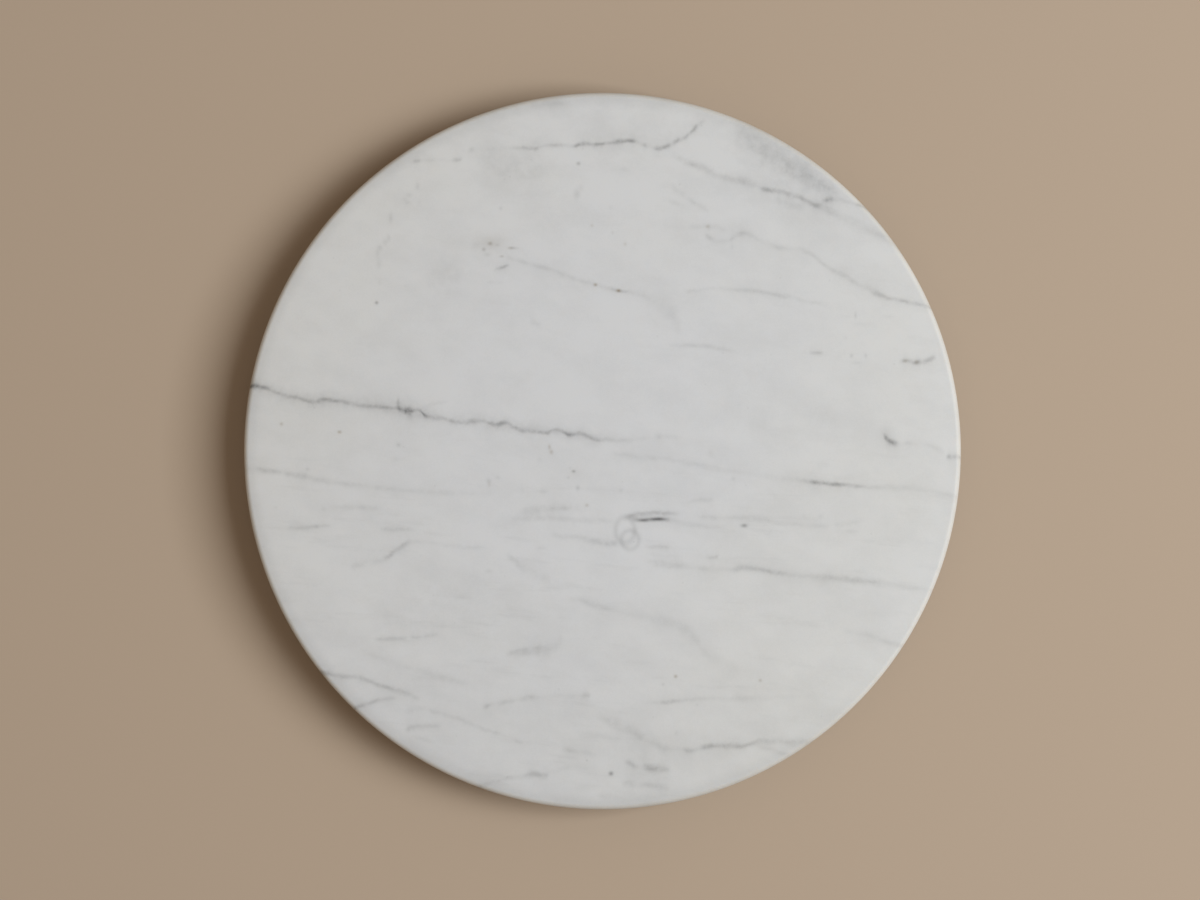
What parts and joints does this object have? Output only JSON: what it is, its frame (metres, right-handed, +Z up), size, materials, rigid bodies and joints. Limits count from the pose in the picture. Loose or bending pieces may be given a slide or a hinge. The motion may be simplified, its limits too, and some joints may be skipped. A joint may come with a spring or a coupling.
{
  "type": "lazy susan turntable",
  "caption": "Round white marble lazy susan: an eased stone slab that turns freely on a flat ball bearing ring set, raised on rubber feet, for serving at table.",
  "frame": {"origin": "on the table under the centre of the slab, on the axis that the slab turns about", "axes": "+Z up along the turning axis; +X to the right and +Y to the top of the picture, through foot_1 and foot_3"},
  "size_m": [0.4059, 0.406, 0.038],
  "materials": {
    "marble": "honed white marble, grey veins",
    "satin_aluminium": "satin turned",
    "steel_fastener": "plain steel",
    "bearing_steel": "polished",
    "brass": "turned",
    "nylon": "natural nylon",
    "silicone": "clear silicone, matt",
    "rubber": "moulded black rubber"
  },
  "bodies": {
    "base": {"outer_ring": "satin_aluminium", "loading_plug": "steel_fastener", "foot_1": "rubber", "foot_2": "rubber", "foot_3": "rubber", "foot_4": "rubber", "foot_5": "rubber", "foot_6": "rubber", "foot_7": "rubber", "foot_8": "rubber"},
    "turntable": {"marble_top": "marble", "thread_inserts": "brass", "ring_screws": "steel_fastener", "inner_ring": "satin_aluminium", "cushion_washer_1": "silicone", "cushion_washer_2": "silicone", "cushion_washer_3": "silicone", "cushion_washer_4": "silicone", "cushion_washer_5": "silicone", "cushion_washer_6": "silicone", "cushion_washer_7": "silicone", "cushion_washer_8": "silicone"},
    "ball_train": {"ball_cage": "nylon", "ball_01": "bearing_steel", "ball_02": "bearing_steel", "ball_03": "bearing_steel", "ball_04": "bearing_steel", "ball_05": "bearing_steel", "ball_06": "bearing_steel", "ball_07": "bearing_steel", "ball_08": "bearing_steel", "ball_09": "bearing_steel", "ball_10": "bearing_steel", "ball_11": "bearing_steel", "ball_12": "bearing_steel", "ball_13": "bearing_steel", "ball_14": "bearing_steel", "ball_15": "bearing_steel", "ball_16": "bearing_steel", "ball_17": "bearing_steel", "ball_18": "bearing_steel", "ball_19": "bearing_steel", "ball_20": "bearing_steel", "ball_21": "bearing_steel", "ball_22": "bearing_steel", "ball_23": "bearing_steel", "ball_24": "bearing_steel", "ball_25": "bearing_steel", "ball_26": "bearing_steel", "ball_27": "bearing_steel", "ball_28": "bearing_steel", "ball_29": "bearing_steel", "ball_30": "bearing_steel", "ball_31": "bearing_steel", "ball_32": "bearing_steel"}
  },
  "joints": [
    {"name": "turntable_spin", "type": "hinge", "parent": "base", "child": "turntable", "pos_m": [0, 0, 0.012], "axis": [0, 0, 1], "continuous": true},
    {"name": "ball_train_orbit", "type": "hinge", "parent": "base", "child": "ball_train", "pos_m": [0, 0, 0.012], "axis": [0, 0, 1], "continuous": true}
  ],
  "couplings": [
    {"joint": "ball_train_orbit", "follows": "turntable_spin", "ratio": 0.4938}
  ]
}
